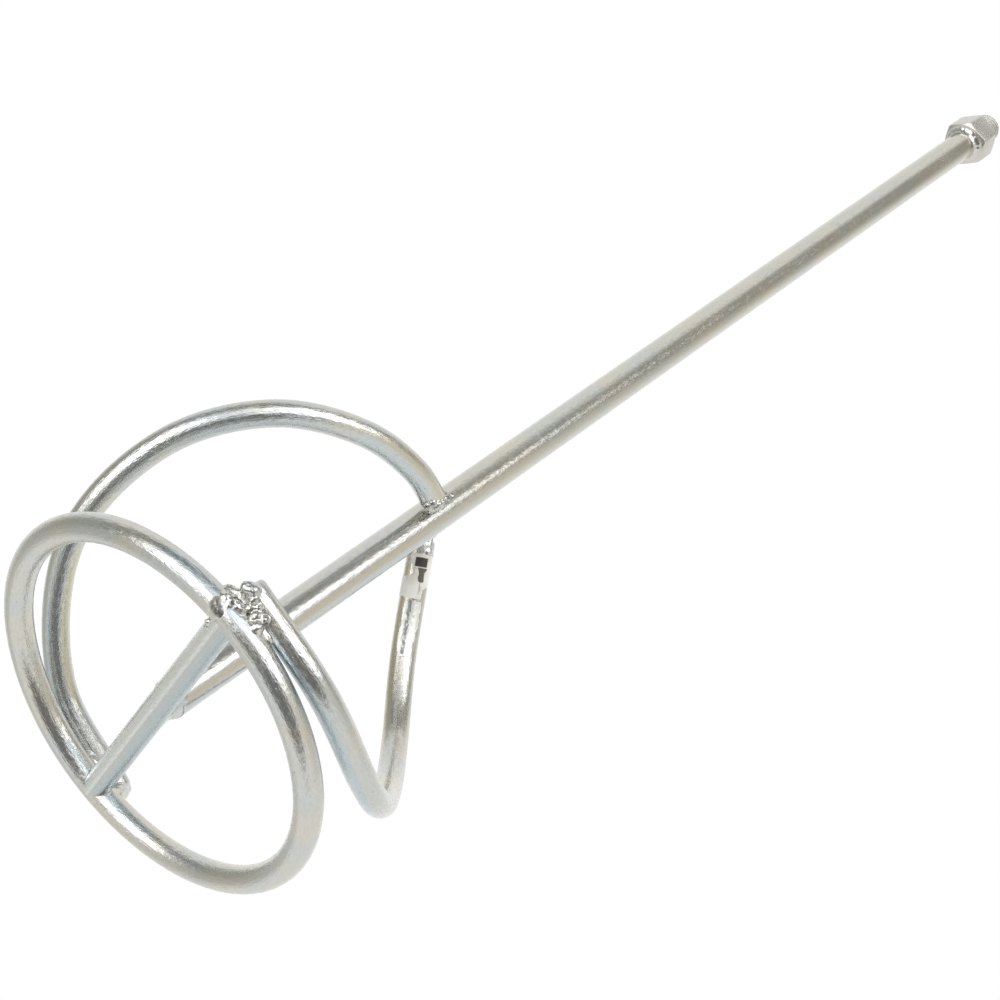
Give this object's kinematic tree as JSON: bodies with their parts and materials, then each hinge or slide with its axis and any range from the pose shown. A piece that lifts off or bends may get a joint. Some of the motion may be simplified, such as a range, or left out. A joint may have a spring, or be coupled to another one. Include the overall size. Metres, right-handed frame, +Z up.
{
  "type": "mortar mixing paddle",
  "caption": "Welded round-bar mixing paddle: long shaft with a threaded drive stud and nut, crossbar, bottom ring and helical arms that stir mortar from a mixing drill.",
  "frame": {"origin": "on the shaft's axis, level with the underside of the bottom ring", "axes": "+Z up the shaft towards the drive stud, X along the crossbar towards arm a's lower end, Y across it"},
  "size_m": [0.1545, 0.1566, 0.603],
  "materials": {
    "zinc_bar": "bright zinc plating, satin to polished",
    "weld_bead": "bright zinc plating, satin to polished",
    "label_paper": "torn, slightly soiled paper"
  },
  "bodies": {
    "root": {"shaft": "zinc_bar", "drive_nut": "zinc_bar", "bottom_ring": "zinc_bar", "crossbar": "zinc_bar", "helical_arm_a": "zinc_bar", "helical_arm_b": "zinc_bar", "weld_nut_shaft": "weld_bead", "weld_shaft_foot": "weld_bead", "weld_ring_seam": "weld_bead", "weld_crossbar_ring_a": "weld_bead", "weld_crossbar_ring_b": "weld_bead", "weld_arm_ring_a": "weld_bead", "weld_arm_ring_b": "weld_bead", "weld_arm_shaft_a": "weld_bead", "weld_arm_shaft_b": "weld_bead", "label_wrap": "label_paper", "label_strip": "label_paper"}
  },
  "joints": []
}
